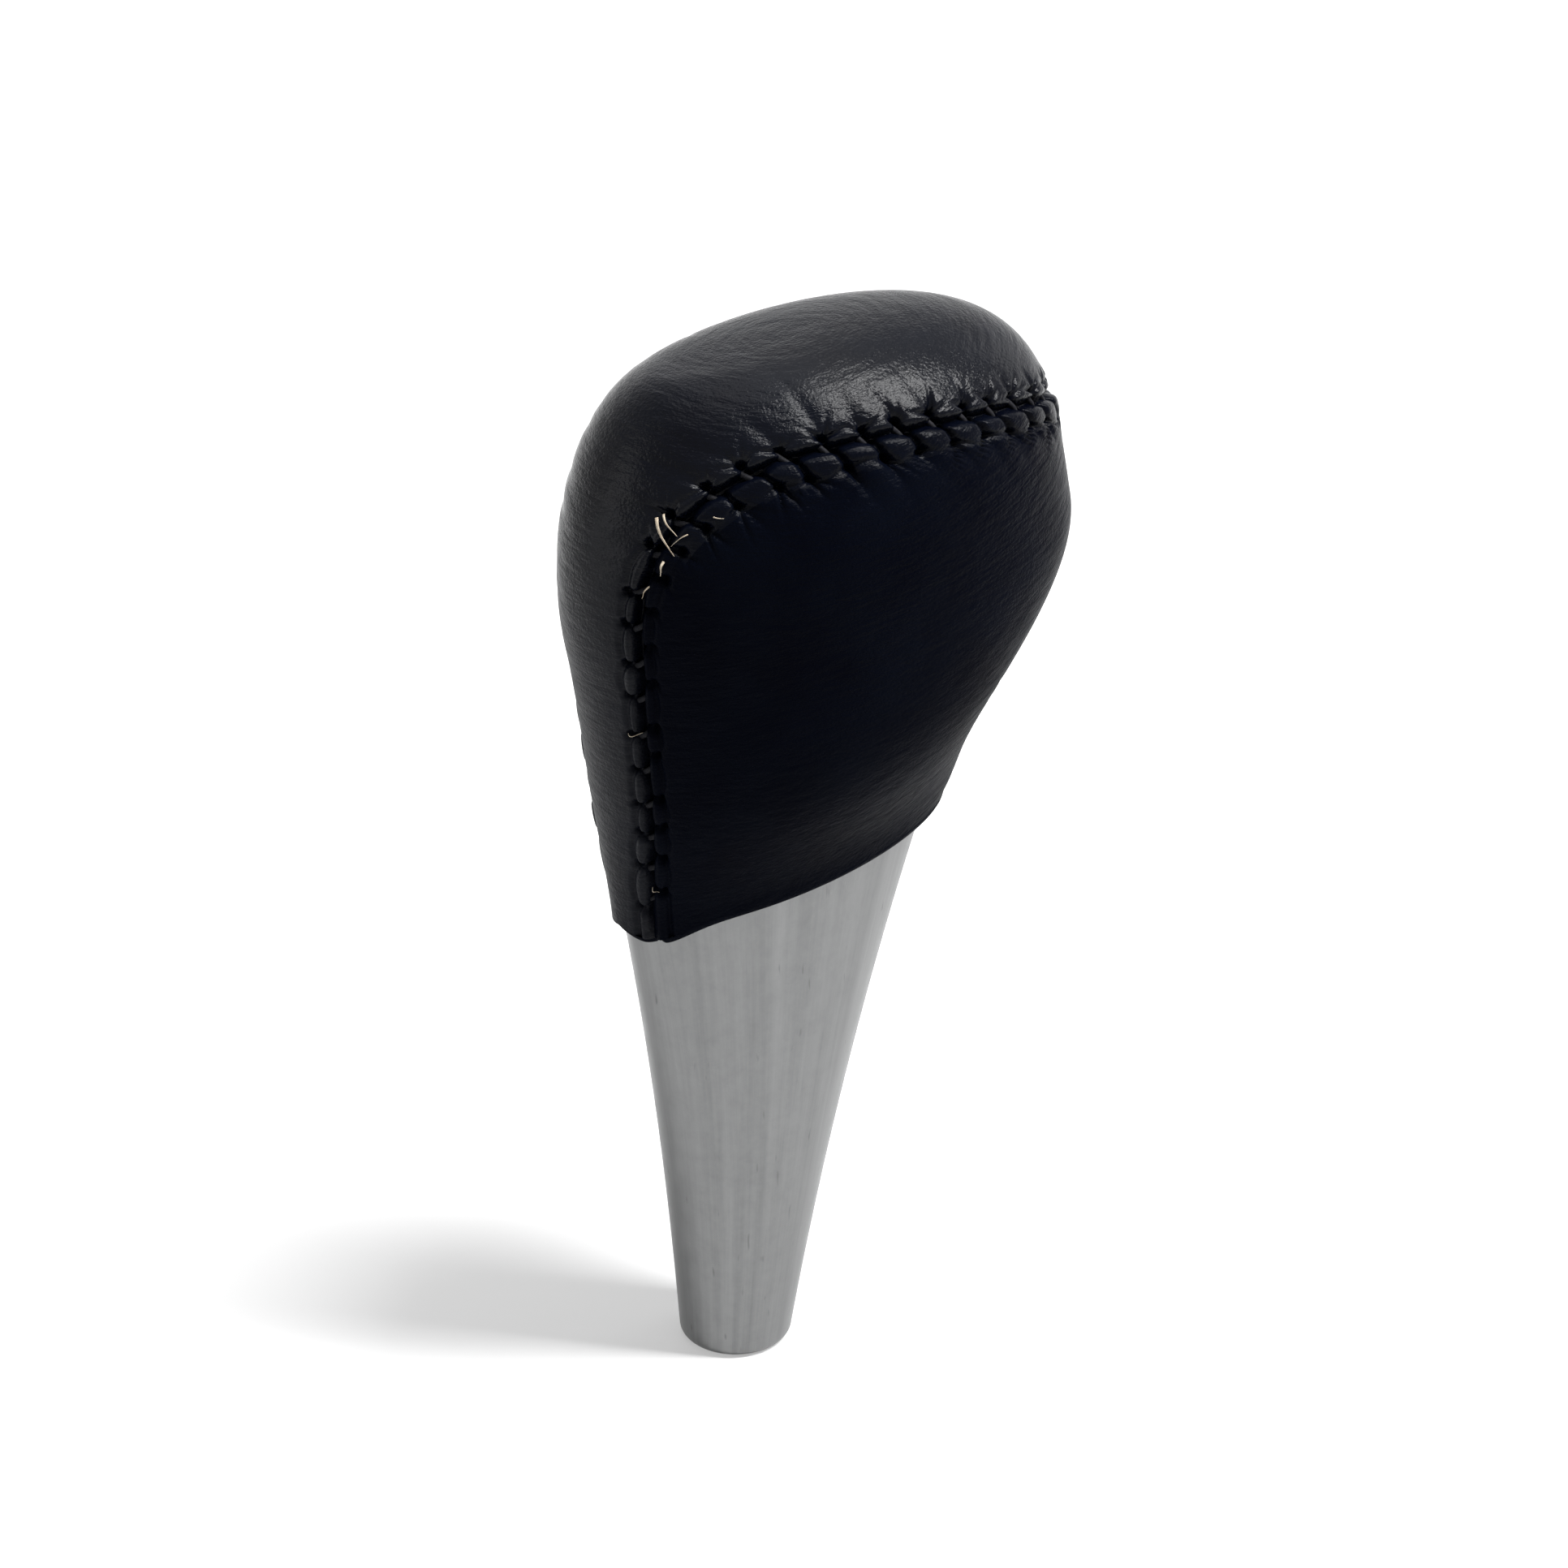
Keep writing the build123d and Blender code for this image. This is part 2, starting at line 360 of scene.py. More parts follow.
@dataclass(frozen=True)
class GatheredEdge:
    """How one panel's edge rolls into the seam, swells in lobes and puckers at its stitch holes.

    The distances are in millimetres and the turns in degrees. The lean is how far a crease runs along
    the seam for each millimetre away from it. The front and top values are those up the front and over
    the top. A share is one of the hole's distance from the seam, a range is the span of factors that
    chance picks from, and a scatter is the spread of chance's normal curve.
    """

    lacing: Lacing
    seed: int
    lead: float
    lean: float
    top_hole: float
    star_reach: float
    top_lobe: float
    top_fade: float
    fold_depth: float
    fold_turn: float = -24.0
    fold_reach: float = 6.5
    fold_middle: float = 60.0
    fold_spread: float = 18.0
    fold_width: float = 0.75
    front_hole: float = 1.75
    front_lobe: float = 0.22
    front_fade: float = 0.5
    front_roll: float = 1.5
    top_roll: float = 1.15
    roll_width: float = 0.55
    hem_closing: float = 0.6
    hem_reach: float = 4.0
    lobe_share: float = 0.55
    lobe_power: float = 0.6
    lobe_range: Pair = (0.4, 1.2)
    lobe_slide: float = 0.4
    slide_width: float = 0.9
    outer_lobe: float = 0.14
    outer_share: float = 1.7
    outer_width: float = 1.3
    front_scallop: float = 0.42
    top_scallop: float = 0.02
    scallop_share: float = 0.75
    scallop_swing: float = 0.45
    scallop_width: float = 0.36
    hole_depth: float = 0.4
    hole_width: float = 0.36
    hole_range: Pair = (0.9, 1.1)
    crease_depth: float = 0.85
    crease_width: float = 0.34
    crease_end: float = 0.2
    width_range: Pair = (0.85, 1.2)
    star_turns: tuple[float, ...] = (-72.0, -24.0, 20.0, 68.0)
    front_star: float = 0.3
    star_width: float = 0.75
    star_start: float = 0.12
    star_reach_range: Pair = (0.5, 1.3)
    fold_reach_range: Pair = (0.6, 1.2)
    depth_range: Pair = (0.4, 1.0)
    place_scatter: float = 0.36
    lean_scatter: float = 0.14
    star_scatter: float = 10.0
    fold_scatter: float = 9.0

    def over(self, front: float, top: float, tight: Array) -> Array:
        """Pass from a value up the front to a value over the top as the lacing tightens."""
        return front + (top - front) * tight

    def shape(self, run: Array, away: Array, length: float) -> tuple[Array, Array]:
        """Work out how far the edge lifts and slides.

        Args:
            run: Distances from the hem along the seam.
            away: Distances from the seam across the panel.
            length: The seam's length.

        Returns:
            The lift along the normals and the slide towards the seam.
        """
        rng = np.random.default_rng(self.seed)
        places = self.lacing.places(length) + self.lead
        places = places + rng.normal(0.0, self.place_scatter, places.size)
        tight = self.lacing.tightness(run)
        hole = self.over(self.front_hole, self.top_hole, tight)
        leaning = run - self.lean * tight * (away - hole)
        count = np.interp(leaning, places, np.arange(places.size), left=-0.5, right=places.size - 0.5)
        swells = rng.uniform(*self.lobe_range, places.size + 1)
        lobes = np.abs(np.sin(np.pi * count)) ** self.lobe_power * swells[np.floor(count).astype(int) + 1]
        open_share = 1.0 - self.hem_closing * bell(run, self.hem_reach)
        roll = self.over(self.front_roll, self.top_roll, tight) * open_share
        lift = -roll * bell(away, self.roll_width)
        fade = self.over(self.front_fade, self.top_fade, tight) * hole
        swell = bell(away - self.lobe_share * hole, fade)
        lift += self.over(self.front_lobe, self.top_lobe, tight) * lobes * swell
        lift += self.outer_lobe * tight * lobes * bell(away - self.outer_share * hole, self.outer_width)
        scallop = away - hole * (self.scallop_share + self.scallop_swing * lobes)
        lift -= self.over(self.front_scallop, self.top_scallop, tight) * bell(scallop, self.scallop_width)
        for place in places:
            lift -= self.pucker(run, away, place, rng)
        return lift, self.lobe_slide * (lobes - 0.5) * bell(away, self.slide_width)

    def pucker(self, run: Array, away: Array, place: float, rng: np.random.Generator) -> Array:
        """Work out how deep one stitch pulls the leather in.

        Args:
            run: Distances from the hem along the seam.
            away: Distances from the seam across the panel.
            place: The stitch's distance from the hem.
            rng: The source of the stitch's own chances.

        Returns:
            The depth at each point.
        """
        tight = float(self.lacing.tightness(place))
        along = run - place
        beyond = away - self.over(self.front_hole, self.top_hole, tight) * rng.uniform(*self.hole_range)
        lean = self.lean * tight + rng.normal(0.0, self.lean_scatter)
        width = self.crease_width * rng.uniform(*self.width_range)
        depth = self.crease_depth * short_of(beyond, self.crease_end) * bell(along - lean * beyond, width)
        depth = depth + self.hole_depth * np.exp(-(along**2 + beyond**2) / self.hole_width**2)
        star = self.over(self.front_star, 1.0, tight)
        for turn in self.star_turns:
            reach = self.star_reach * rng.uniform(*self.star_reach_range) * star
            ray_depth = self.crease_depth * rng.uniform(*self.depth_range) * star
            facing = np.radians(turn + rng.normal(0.0, self.star_scatter))
            depth = depth + ray_depth * self.ray(along, beyond, facing, self.star_width * width, reach)
        at_corner = bell(place - self.fold_middle, self.fold_spread)
        facing = np.radians(self.fold_turn + rng.normal(0.0, self.fold_scatter))
        reach = self.fold_reach * rng.uniform(*self.fold_reach_range)
        fold = self.ray(along, beyond, facing, self.fold_width, reach)
        return depth + self.fold_depth * at_corner * rng.uniform(*self.depth_range) * fold

    def ray(self, along: Array, beyond: Array, facing: float, width: float, reach: float) -> Array:
        """Draw one crease that starts at a stitch hole.

        Args:
            along: Distances along the seam from the hole.
            beyond: Distances from the hole away from the seam.
            facing: The crease's turn from straight away from the seam, in radians.
            width: The crease's half width.
            reach: How far the crease runs.

        Returns:
            The crease's share of its depth at each point.
        """
        forward = beyond * np.cos(facing) + along * np.sin(facing)
        sideways = along * np.cos(facing) - beyond * np.sin(facing)
        fading = np.exp(-((sideways / width) ** 2) - (forward / reach) ** 2)
        return short_of(-forward, self.star_start) * fading


@dataclass(frozen=True)
class Droop:
    """The hem's slack corner, where the seam ends over the stem."""

    depth: float = 2.0
    spread: float = 5.0
    rise: float = 6.0

    def apart(self, points: Array, corner: Array) -> Array:
        """Measure level distances from the seam's lower end, on whichever side is nearer."""
        return np.hypot(points[..., 0] - corner[0], np.abs(points[..., 1]) - abs(corner[1]))

    def drop(self, points: Array, corner: Array) -> Array:
        """Let points near the seam's end sag.

        Args:
            points: Points on the head's axes.
            corner: The seam's lower end on the near side.

        Returns:
            The sagged points.
        """
        level_share = (self.apart(points, corner) / self.spread) ** 2
        sagged = points.copy()
        sagged[..., 2] -= self.depth * np.exp(-level_share - (points[..., 2] / self.rise) ** 2)
        return sagged


def grid_faces(rows: int, columns: int, closed: bool = False) -> list[tuple[int, ...]]:
    """List the faces of a grid of points.

    Args:
        rows: How many points there are down each column.
        columns: How many points there are along each row.
        closed: Whether the last column joins the first.

    Returns:
        The corner numbers of each face, for points that run row by row.
    """
    faces = []
    for row in range(rows - 1):
        for column in range(columns if closed else columns - 1):
            after = (column + 1) % columns
            low, high = row * columns, (row + 1) * columns
            faces.append((low + column, low + after, high + after, high + column))
    return faces


def add_piece(name: str, points: Array, faces: list[tuple[int, ...]], material: Material) -> Object:
    """Make a smooth mesh piece.

    Args:
        name: The piece's name.
        points: Its points in the row's frame, in metres.
        faces: The corner numbers of its faces.
        material: Its finish.

    Returns:
        The new object, at the origin.
    """
    mesh = bpy.data.meshes.new(name)
    mesh.from_pydata(points.reshape(-1, 3).tolist(), [], faces)
    mesh.validate()
    mesh.shade_smooth()
    mesh.materials.append(material)
    piece = bpy.data.objects.new(name, mesh)
    bpy.context.scene.collection.objects.link(piece)
    return piece


def add_vectors(piece: Object, name: str, values: Array) -> None:
    """Give each point of a piece a vector, under an attribute's name."""
    attribute = piece.data.attributes.new(name, "FLOAT_VECTOR", "POINT")
    attribute.data.foreach_set("vector", values.ravel())


def weld(piece: Object) -> None:
    """Merge a piece's doubled points, and leave no faces without area.

    Args:
        piece: The mesh object.
    """
    doubled, thin = 0.00002, 0.000005
    work = bmesh.new()
    work.from_mesh(piece.data)
    bmesh.ops.remove_doubles(work, verts=work.verts, dist=doubled)
    bmesh.ops.dissolve_degenerate(work, edges=work.edges, dist=thin)
    work.to_mesh(piece.data)
    work.free()


class GrainDirection(Enum):
    """Which way a finish's fine lines run, by the name of the attribute that lays them."""

    ALONG_STEM = "along_stem"
    ROUND_HEAD = "round_head"


@dataclass(frozen=True)
class LeatherHead:
    """The leather cap, wrap and hem, laced together over the core."""

    form: HeadForm
    seam: SeamPath
    lacing: Lacing
    droop: Droop
    columns: int = 620
    cap_rows: int = 60
    wrap_rows: int = 66
    border_samples: int = 600
    cap_crowding: float = 1.8
    wrap_crowding: float = 2.4
    hem_round: float = 0.9
    hem_under: float = 2.3
    hem_around: int = 420
    hem_bends: int = 9
    hem_tuck: float = 0.9
    hem_tuck_width: float = 0.8
    polished_reach: float = 3.1
    polished_from: float = 0.42

    def cap_edge(self) -> GatheredEdge:
        """Give the cap's gathered edge, whose holes lie close to the seam and fan out in creases."""
        return GatheredEdge(
            self.lacing, seed=11, lead=0.0, lean=-0.25, top_hole=1.1, star_reach=1.7, top_lobe=0.12,
            top_fade=0.5, fold_depth=0.4,
        )

    def wrap_edge(self) -> GatheredEdge:
        """Give the wrap's gathered edge, whose holes lie half a pitch on from the cap's."""
        return GatheredEdge(
            self.lacing, seed=23, lead=self.lacing.pitch / 2, lean=0.5, top_hole=2.2, star_reach=2.2,
            top_lobe=0.36, top_fade=0.9, fold_depth=0.30, fold_turn=32.0, fold_reach=5.0, fold_middle=74.0,
            fold_spread=24.0,
        )

    def seam_line(self) -> Array:
        """Give the near side's seam on the head's axes."""
        return self.seam.points(self.columns)

    def half_cap(self) -> Array:
        """Lay the near half of the cap, from the seam to the middle of the head.

        Returns:
            Its rows of shaped points, on the head's axes.
        """
        seam = self.seam_line()
        shares = 0.5 * np.linspace(0.0, 1.0, self.cap_rows) ** self.cap_crowding
        points = self.form.cast(lines_between(seam, mirrored(seam), shares))
        points[-1, :, 1] = 0.0
        points[:, -1] = seam[-1]
        return self.gather(points, self.cap_edge(), -1.0)

    def half_wrap(self) -> Array:
        """Lay the near half of the wrap, from the seam to the hem and the middle of the rear.

        Returns:
            Its rows of shaped points, on the head's axes.
        """
        seam = self.seam_line()
        start, count = self.seam.start_height, self.border_samples
        middle, reach, half = self.form.section(np.array(start))
        turn_start = np.arctan2(-seam[0, 1] / half, (seam[0, 0] - middle) / reach)
        turns = np.linspace(turn_start, 0.0, count)
        ring = [middle + reach * np.cos(turns), -half * np.sin(turns), np.full(count, start)]
        up = np.linspace(start, seam[-1, 2], count)
        back = np.stack([self.form.reaches(up)[1], np.zeros(count), up], axis=-1)
        border = even_points(np.concatenate([np.stack(ring, axis=-1), back[1:]]), self.columns)
        shares = np.linspace(0.0, 1.0, self.wrap_rows) ** self.wrap_crowding
        points = self.form.cast(lines_between(seam, border, shares))
        points[0], points[-1] = seam, border
        points[:, 0], points[:, -1] = seam[0], seam[-1]
        return self.gather(points, self.wrap_edge(), 1.0)

    def gather(self, points: Array, edge: GatheredEdge, side: float) -> Array:
        """Shape half a panel along its seam.

        Args:
            points: The half's rows of points on the plain head, of which the first row is the seam.
            edge: How its edge is gathered.
            side: 1 for the wrap, whose way to the seam is towards the cap, and -1 for the cap.

        Returns:
            The shaped points.
        """
        seam = points[0]
        lengths = run_lengths(seam)
        ways = units(np.gradient(seam, axis=0))
        nearest = nearest_places(points.reshape(-1, 3), seam)[0].reshape(points.shape[:2])
        apart = points - seam[nearest]
        forward = np.sum(apart * ways[nearest], axis=-1)
        run = np.clip(lengths[nearest] + forward, 0.0, lengths[-1])
        away = np.sqrt(np.clip(np.sum(apart**2, axis=-1) - forward**2, 0.0, None))
        lift, slide = edge.shape(run, away, float(lengths[-1]))
        outward = self.form.normals(points)
        to_seam = side * np.cross(outward, ways[nearest])
        shaped = points + outward * lift[..., None] + to_seam * slide[..., None]
        return self.droop.drop(shaped, seam[0])

    def build_panel(self, name: str, half: Array, flip: bool, leather: Material) -> Object:
        """Join a half panel and its mirror image.

        Args:
            name: The panel's name.
            half: The near half's rows of points.
            flip: Whether the near half's faces are listed the other way round.
            leather: The panel's finish.

        Returns:
            The panel.
        """
        rows, columns = half.shape[:2]
        both = np.concatenate([half.reshape(-1, 3), mirrored(half).reshape(-1, 3)])
        near = grid_faces(rows, columns)
        far = [tuple(corner + rows * columns for corner in face) for face in near]
        near_faces = [face[::-1] for face in near] if flip else near
        far_faces = far if flip else [face[::-1] for face in far]
        piece = add_piece(name, self.form.to_row(both), near_faces + far_faces, leather)
        add_vectors(piece, GrainDirection.ROUND_HEAD.value, self.form.grain(both))
        weld(piece)
        return piece

    def build_cap(self, leather: Material) -> Object:
        """Build the cap with its tongue."""
        return self.build_panel("leather_cap_gathered", self.half_cap(), False, leather)

    def build_wrap(self, leather: Material, polish: Material) -> Object:
        """Build the wrap and polish its rolled edge over the top.

        Args:
            leather: The panel's finish.
            polish: The rolled edge's finish.

        Returns:
            The wrap.
        """
        wrap = self.build_panel("leather_wrap_gathered", self.half_wrap(), True, leather)
        wrap.data.materials.append(polish)
        middles = np.empty(len(wrap.data.polygons) * 3)
        wrap.data.polygons.foreach_get("center", middles)
        middles = middles.reshape(-1, 3)
        middles[:, 1] = -np.abs(middles[:, 1])
        nearest, gaps = nearest_places(middles, self.form.to_row(self.seam_line()))
        at_top = nearest > self.columns * self.polished_from
        polished = (gaps < self.polished_reach * MM) & at_top
        wrap.data.polygons.foreach_set("material_index", polished.astype(np.int32))
        return wrap

    def build_hem(self, leather: Material) -> Object:
        """Roll the hem under, all round the stem, and tuck it in where the seam ends.

        Args:
            leather: The hem's finish.

        Returns:
            The hem.
        """
        turns = np.linspace(0.0, 2 * np.pi, self.hem_around, endpoint=False)
        bends = np.radians(np.linspace(90.0, 0.0, self.hem_bends))
        profile = [(self.hem_round * (1 - np.cos(b)), self.hem_round * (1 - np.sin(b))) for b in bends]
        profile.append((0.0, self.hem_under))
        middle, reach, half = self.form.section(np.array(self.hem_round))
        rows = []
        for up, inset in profile:
            along = middle + (reach - inset) * np.cos(turns)
            rows.append(np.stack([along, (half - inset) * np.sin(turns), np.full(turns.shape, up)], axis=-1))
        points = np.stack(rows)
        corner = self.seam_line()[0]
        inward = np.stack([-np.cos(turns), -np.sin(turns), np.zeros(turns.shape)], axis=-1)
        tuck = self.hem_tuck * bell(self.droop.apart(points, corner), self.hem_tuck_width)
        points = self.droop.drop(points + inward[None] * tuck[..., None], corner)
        faces = [face[::-1] for face in grid_faces(len(profile), turns.size, closed=True)]
        piece = add_piece("leather_hem", self.form.to_row(points), faces, leather)
        add_vectors(piece, GrainDirection.ROUND_HEAD.value, self.form.grain(points))
        return piece


class TreeNodes:
    """The nodes of one tree, added and joined up."""

    def __init__(self, tree: NodeTree) -> None:
        """Keep the tree that the nodes go into."""
        self.tree = tree

    def feed(self, node: Node, inputs: Inputs) -> None:
        """Give a node's inputs what they take.

        Args:
            node: The node.
            inputs: Each input's value, or the socket that gives it.
        """
        for name, value in inputs.items():
            if isinstance(value, NodeSocket):
                self.tree.links.new(value, node.inputs[name])
            else:
                node.inputs[name].default_value = value

    def add(self, kind: str, output: str | int, inputs: Inputs, **settings: str) -> NodeSocket:
        """Add a node.

        Args:
            kind: The node's type.
            output: Which of its outputs is wanted.
            inputs: Each input's value, or the socket that gives it.
            settings: Its own settings, such as its data type.

        Returns:
            The output.
        """
        node = self.tree.nodes.new(kind)
        for name, value in settings.items():
            setattr(node, name, value)
        self.feed(node, inputs)
        return node.outputs[output]

    def math(self, operation: str, first: NodeSocket, second: NodeSocket | float) -> NodeSocket:
        """Work out one value from two."""
        return self.add("ShaderNodeMath", 0, {0: first, 1: second}, operation=operation)

    def plain(self, scale: Triple = (1.0, 1.0, 1.0)) -> NodeSocket:
        """Add Object coordinates, scaled on each axis."""
        place = self.add("ShaderNodeTexCoord", "Object", {})
        return self.add("ShaderNodeMapping", "Vector", {"Vector": place, "Scale": scale})

    def laid(self, direction: GrainDirection) -> NodeSocket:
        """Add the coordinates that a piece carries for its fine lines."""
        return self.add("ShaderNodeAttribute", "Vector", {}, attribute_name=direction.value)

    def noise(self, vector: NodeSocket, scale: float, detail: float, rough: float = 0.55) -> NodeSocket:
        """Add a noise texture.

        Args:
            vector: The coordinates to read.
            scale: The noise's scale.
            detail: How many octaves it has.
            rough: How strong the finer octaves are.

        Returns:
            The noise's factor.
        """
        inputs = {"Vector": vector, "Scale": scale, "Detail": detail, "Roughness": rough}
        return self.add("ShaderNodeTexNoise", "Fac", inputs)

    def spread(
        self, value: NodeSocket, low: float, high: float, start: float = 0.3, end: float = 0.7
    ) -> NodeSocket:
        """Spread a value from a start and an end onto a low and a high.

        Args:
            value: The value.
            low: What the start becomes.
            high: What the end becomes.
            start: The value's start.
            end: The value's end.

        Returns:
            The spread value.
        """
        inputs = {"Value": value, "From Min": start, "From Max": end, "To Min": low, "To Max": high}
        return self.add("ShaderNodeMapRange", "Result", inputs)

    def bump(
        self, height: NodeSocket, strength: float, depth: float, below: NodeSocket | None = None
    ) -> NodeSocket:
        """Add a bump.

        Args:
            height: The bump's height.
            strength: The bump's strength.
            depth: The bump's depth, in metres.
            below: The normal that it is laid on.

        Returns:
            The bumped normal.
        """
        inputs = {"Height": height, "Strength": strength, "Distance": depth}
        if below is not None:
            inputs["Normal"] = below
        return self.add("ShaderNodeBump", "Normal", inputs)

    def blend(self, factor: NodeSocket, first: Colour | NodeSocket, second: Colour) -> NodeSocket:
        """Blend two colours.

        Args:
            factor: The second colour's share.
            first: The colour at 0, which another node may give.
            second: The colour at 1.

        Returns:
            The blended colour.
        """
        start = first if isinstance(first, NodeSocket) else (*first, 1.0)
        inputs = {"Factor": factor, "A": start, "B": (*second, 1.0)}
        return self.add("ShaderNodeMix", "Result", inputs, data_type="RGBA")

    def clouded(self, cloud: NodeSocket, first: Colour, second: Colour) -> NodeSocket:
        """Blend two colours by a noise's factor."""
        return self.blend(self.spread(cloud, 0.0, 1.0), first, second)


@dataclass(frozen=True)
class LacedThread:
    """The thread that crosses the seam at each stitch, made by instancing one bent stitch."""

    form: HeadForm
    seam: SeamPath
    lacing: Lacing
    diameter: float = 0.62
    reach: float = 1.5
    rise: float = 0.55
    dip: float = 0.7
    slant: float = 2.1
    sink: float = 0.75
    look_ahead: float = 0.3
    seam_samples: int = 1200
    bends: int = 10
    sides: int = 8

    def stitch_points(self) -> tuple[Array, Array, Array]:
        """Find where the stitches lie.

        Returns:
            Their middles, the ways across the seam and the outward ways, on the head's axes.
        """
        line = self.seam.points(self.seam_samples)
        places = self.lacing.places(run_lengths(line)[-1])
        middles = along_line(line, places)
        tangents = units(along_line(line, places + self.look_ahead) - middles)
        outward = self.form.normals(middles)
        across = np.cross(outward, tangents)
        leaning = units(across * 2 * self.reach - tangents * self.slant)
        return middles - outward * self.sink, leaning, outward

    def tree(self, thread: Material) -> NodeTree:
        """Build the node tree that lays one stitch on each point.

        Args:
            thread: The stitches' finish.

        Returns:
            The tree, whose inputs are the stitch's sizes.
        """
        tree = bpy.data.node_groups.new("stitches_on_seam", "GeometryNodeTree")
        tree.interface.new_socket("Geometry", in_out="INPUT", socket_type="NodeSocketGeometry")
        for name in ("Reach", "Rise", "Dip", "Thread radius"):
            tree.interface.new_socket(name, in_out="INPUT", socket_type="NodeSocketFloat")
        tree.interface.new_socket("Geometry", in_out="OUTPUT", socket_type="NodeSocketGeometry")
        nodes = TreeNodes(tree)
        source = tree.nodes.new("NodeGroupInput").outputs
        minus_reach, minus_dip = (nodes.math("MULTIPLY", source[name], -1.0) for name in ("Reach", "Dip"))
        start, top, end = (
            nodes.add("ShaderNodeCombineXYZ", "Vector", corner)
            for corner in (
                {"X": minus_reach, "Z": minus_dip},
                {"Z": source["Rise"]},
                {"X": source["Reach"], "Z": minus_dip},
            )
        )
        bend_inputs = {"Resolution": self.bends, "Start": start, "Middle": top, "End": end}
        bend = nodes.add("GeometryNodeCurveQuadraticBezier", "Curve", bend_inputs)
        section_inputs = {"Resolution": self.sides, "Radius": source["Thread radius"]}
        section = nodes.add("GeometryNodeCurvePrimitiveCircle", "Curve", section_inputs)
        sweep_inputs = {"Curve": bend, "Profile Curve": section, "Fill Caps": True}
        stitch = nodes.add("GeometryNodeCurveToMesh", "Mesh", sweep_inputs)
        carried = "GeometryNodeInputNamedAttribute"
        across, outward = (
            nodes.add(carried, "Attribute", {"Name": name}, data_type="FLOAT_VECTOR")
            for name in ("across", "outward")
        )
        turn_inputs = {"Primary Axis": across, "Secondary Axis": outward}
        turn_axes = {"primary_axis": "X", "secondary_axis": "Z"}
        turn = nodes.add("FunctionNodeAxesToRotation", "Rotation", turn_inputs, **turn_axes)
        points = nodes.add("GeometryNodeMeshToPoints", "Points", {"Mesh": source["Geometry"]})
        place_inputs = {"Points": points, "Instance": stitch, "Rotation": turn}
        placed = nodes.add("GeometryNodeInstanceOnPoints", "Instances", place_inputs)
        real = nodes.add("GeometryNodeRealizeInstances", "Geometry", {"Geometry": placed})
        dressed = nodes.add("GeometryNodeSetMaterial", "Geometry", {"Geometry": real, "Material": thread})
        nodes.feed(tree.nodes.new("NodeGroupOutput"), {"Geometry": dressed})
        return tree

    def build(self, thread: Material) -> Object:
        """Lay the stitches on both sides of the head and turn them into a plain mesh.

        Args:
            thread: The stitches' finish.

        Returns:
            The lacing.
        """
        middles, across, outward = (
            self.form.to_row(np.concatenate([near, mirrored(near)])) for near in self.stitch_points()
        )
        base = self.form.to_row(np.zeros(3))
        piece = add_piece("seam_lacing", middles, [], thread)
        add_vectors(piece, "across", (across - base) / MM)
        add_vectors(piece, "outward", (outward - base) / MM)
        tree = self.tree(thread)
        modifier = piece.modifiers.new("stitches", "NODES")
        modifier.node_group = tree
        sizes = {
            "Reach": self.reach,
            "Rise": self.rise,
            "Dip": self.dip,
            "Thread radius": self.diameter / 2,
        }
        for socket in tree.interface.items_tree:
            if socket.in_out == "INPUT" and socket.name in sizes:
                modifier[socket.identifier] = sizes[socket.name] * MM
        evaluated = piece.evaluated_get(bpy.context.evaluated_depsgraph_get())
        mesh = bpy.data.meshes.new_from_object(evaluated)
        piece.modifiers.remove(modifier)
        piece.data = mesh
        mesh.shade_smooth()
        return piece


@dataclass(frozen=True)
class Fibre:
    """One loose fibre, in millimetres and degrees.

    Its root has a place along the seam and lies aside from it, positive on the wrap. Its turn is
    measured from the seam's own way.
    """

    place: float
    aside: float
    turn: float
    length: float
    lift: float
    radius: float


